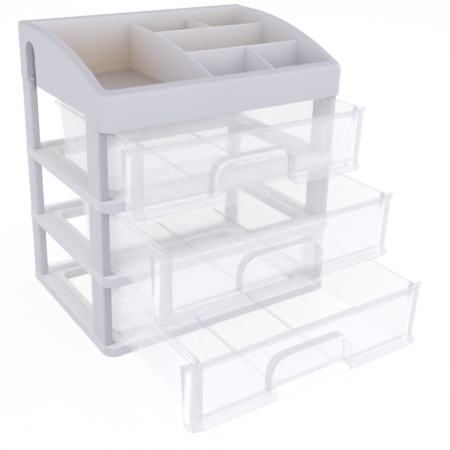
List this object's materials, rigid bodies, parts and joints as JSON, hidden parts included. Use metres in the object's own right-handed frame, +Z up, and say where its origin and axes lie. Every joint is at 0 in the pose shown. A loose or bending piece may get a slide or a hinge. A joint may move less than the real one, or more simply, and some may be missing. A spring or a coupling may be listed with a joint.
{
  "type": "drawer organizer",
  "caption": "Stacking make-up organizer with open frame levels, clear sliding drawers with arched finger pulls, and a deep divided tray with curved sides on top.",
  "frame": {"origin": "middle of the base ring's underside", "axes": "+Z up, the front with the drawers' fascias faces -Y, +X to the right seen from the front"},
  "size_m": [0.27, 0.3295, 0.288],
  "materials": {
    "frame_plastic": "opaque light cool grey, fine moulded texture",
    "clear_plastic": "clear, polished, faintly milky"
  },
  "bodies": {
    "cabinet": {"base_frame": "frame_plastic", "middle_frame": "frame_plastic", "top_frame": "frame_plastic", "top_tray": "frame_plastic"},
    "top_drawer": {"top_drawer": "clear_plastic"},
    "middle_drawer": {"middle_drawer": "clear_plastic"},
    "bottom_drawer": {"bottom_drawer": "clear_plastic"}
  },
  "joints": [
    {"name": "top_drawer_slide", "type": "slide", "parent": "cabinet", "child": "top_drawer", "axis": [0, -1, 0], "range_m": [-0.04, 0.105]},
    {"name": "middle_drawer_slide", "type": "slide", "parent": "cabinet", "child": "middle_drawer", "axis": [0, -1, 0], "range_m": [-0.087, 0.058]},
    {"name": "bottom_drawer_slide", "type": "slide", "parent": "cabinet", "child": "bottom_drawer", "axis": [0, -1, 0], "range_m": [-0.135, 0.01]}
  ]
}
